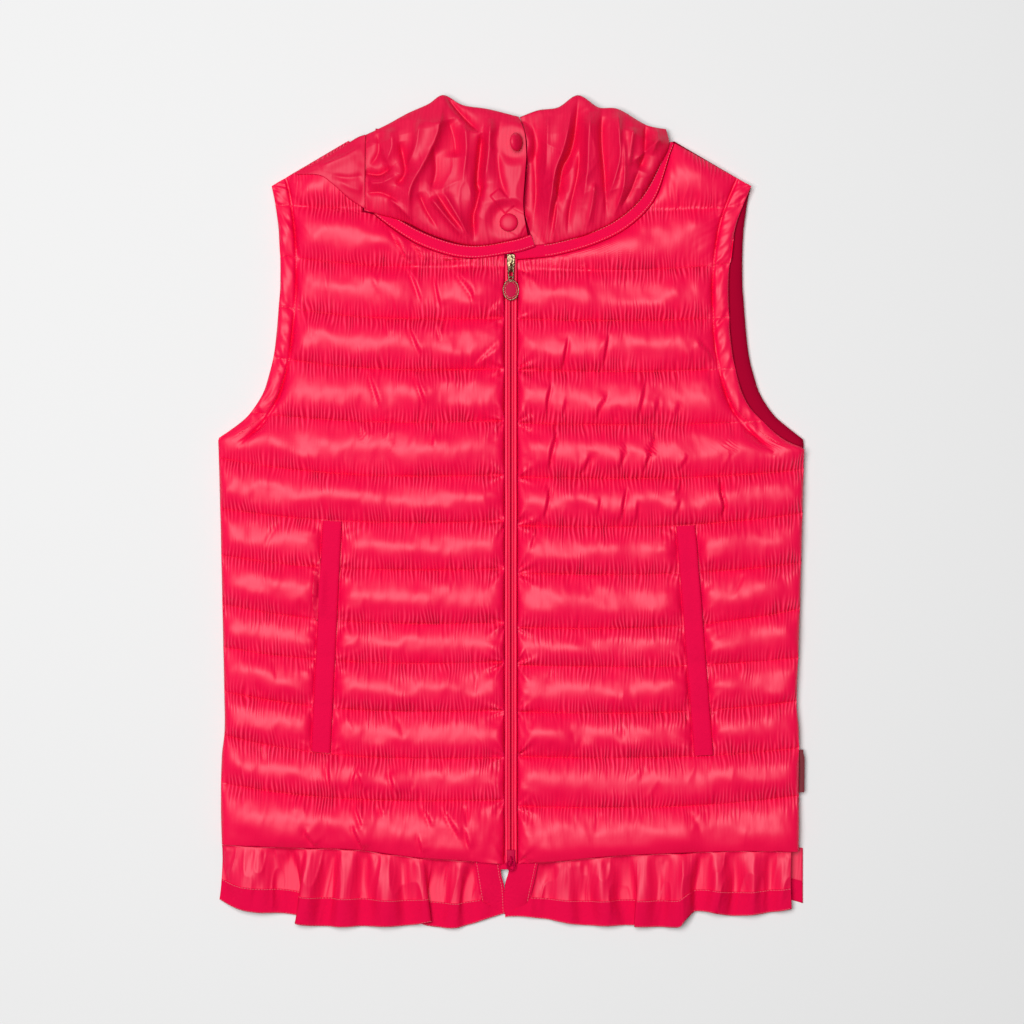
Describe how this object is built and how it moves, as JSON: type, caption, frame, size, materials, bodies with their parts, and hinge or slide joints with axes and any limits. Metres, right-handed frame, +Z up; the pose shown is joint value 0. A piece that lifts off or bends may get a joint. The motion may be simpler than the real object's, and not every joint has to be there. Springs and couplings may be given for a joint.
{
  "type": "quilted puffer vest with gathered hood, laid flat",
  "caption": "Sleeveless quilted down vest laid flat, front up, with a full zip, a gathered thin hood, slanted welt pockets and a ruffled hem.",
  "frame": {"origin": "centre of the vest's outline on the surface that it lies on", "axes": "+Y from hem to neck, +X to the right as seen from above the front, +Z up from the surface"},
  "size_m": [0.4818, 0.6849, 0.034],
  "materials": {
    "quilted_shell": "light shiny nylon over down, coral red",
    "thin_nylon": "unpadded shiny nylon, gathered",
    "ribbed_tape": "matte ribbed tape",
    "pale_gold": "polished pale gold",
    "red_lacquer": "glossy red lacquer",
    "maroon_tab": "matte woven tab, blank"
  },
  "bodies": {
    "vest": {"back": "quilted_shell", "front_left": "quilted_shell", "front_right": "quilted_shell", "hood_left": "thin_nylon", "hood_right": "thin_nylon", "hood_back": "thin_nylon", "hood_wing_left": "thin_nylon", "snap_cap_lower": "thin_nylon", "snap_cap_upper": "thin_nylon", "ruffle_left": "thin_nylon", "ruffle_right": "thin_nylon", "ruffle_back": "thin_nylon", "pocket_facing_left": "thin_nylon", "neck_tape_left": "ribbed_tape", "neck_tape_right": "ribbed_tape", "neck_tape_back": "ribbed_tape", "welt_left": "ribbed_tape", "welt_right": "ribbed_tape", "hem_band_left": "ribbed_tape", "hem_band_right": "ribbed_tape", "hem_band_back": "ribbed_tape", "end_band_left": "ribbed_tape", "end_band_right": "ribbed_tape", "zip_tape_left": "ribbed_tape", "zip_tape_right": "ribbed_tape", "zip_coil": "ribbed_tape", "zip_slider": "pale_gold", "zip_slider_lower": "red_lacquer", "side_tab": "maroon_tab"},
    "pull": {"zip_pull": "red_lacquer"},
    "loop": {"zip_loop_lower": "red_lacquer"}
  },
  "joints": [
    {"name": "pull_hinge", "type": "hinge", "parent": "vest", "child": "pull", "pos_m": [-0.0005, 0.201, 0.0154], "axis": [-1, 0, 0], "range_deg": [0, 150]},
    {"name": "loop_hinge", "type": "hinge", "parent": "vest", "child": "loop", "pos_m": [-0.0005, -0.2855, 0.0154], "axis": [-1, 0, 0], "range_deg": [0, 150]}
  ]
}
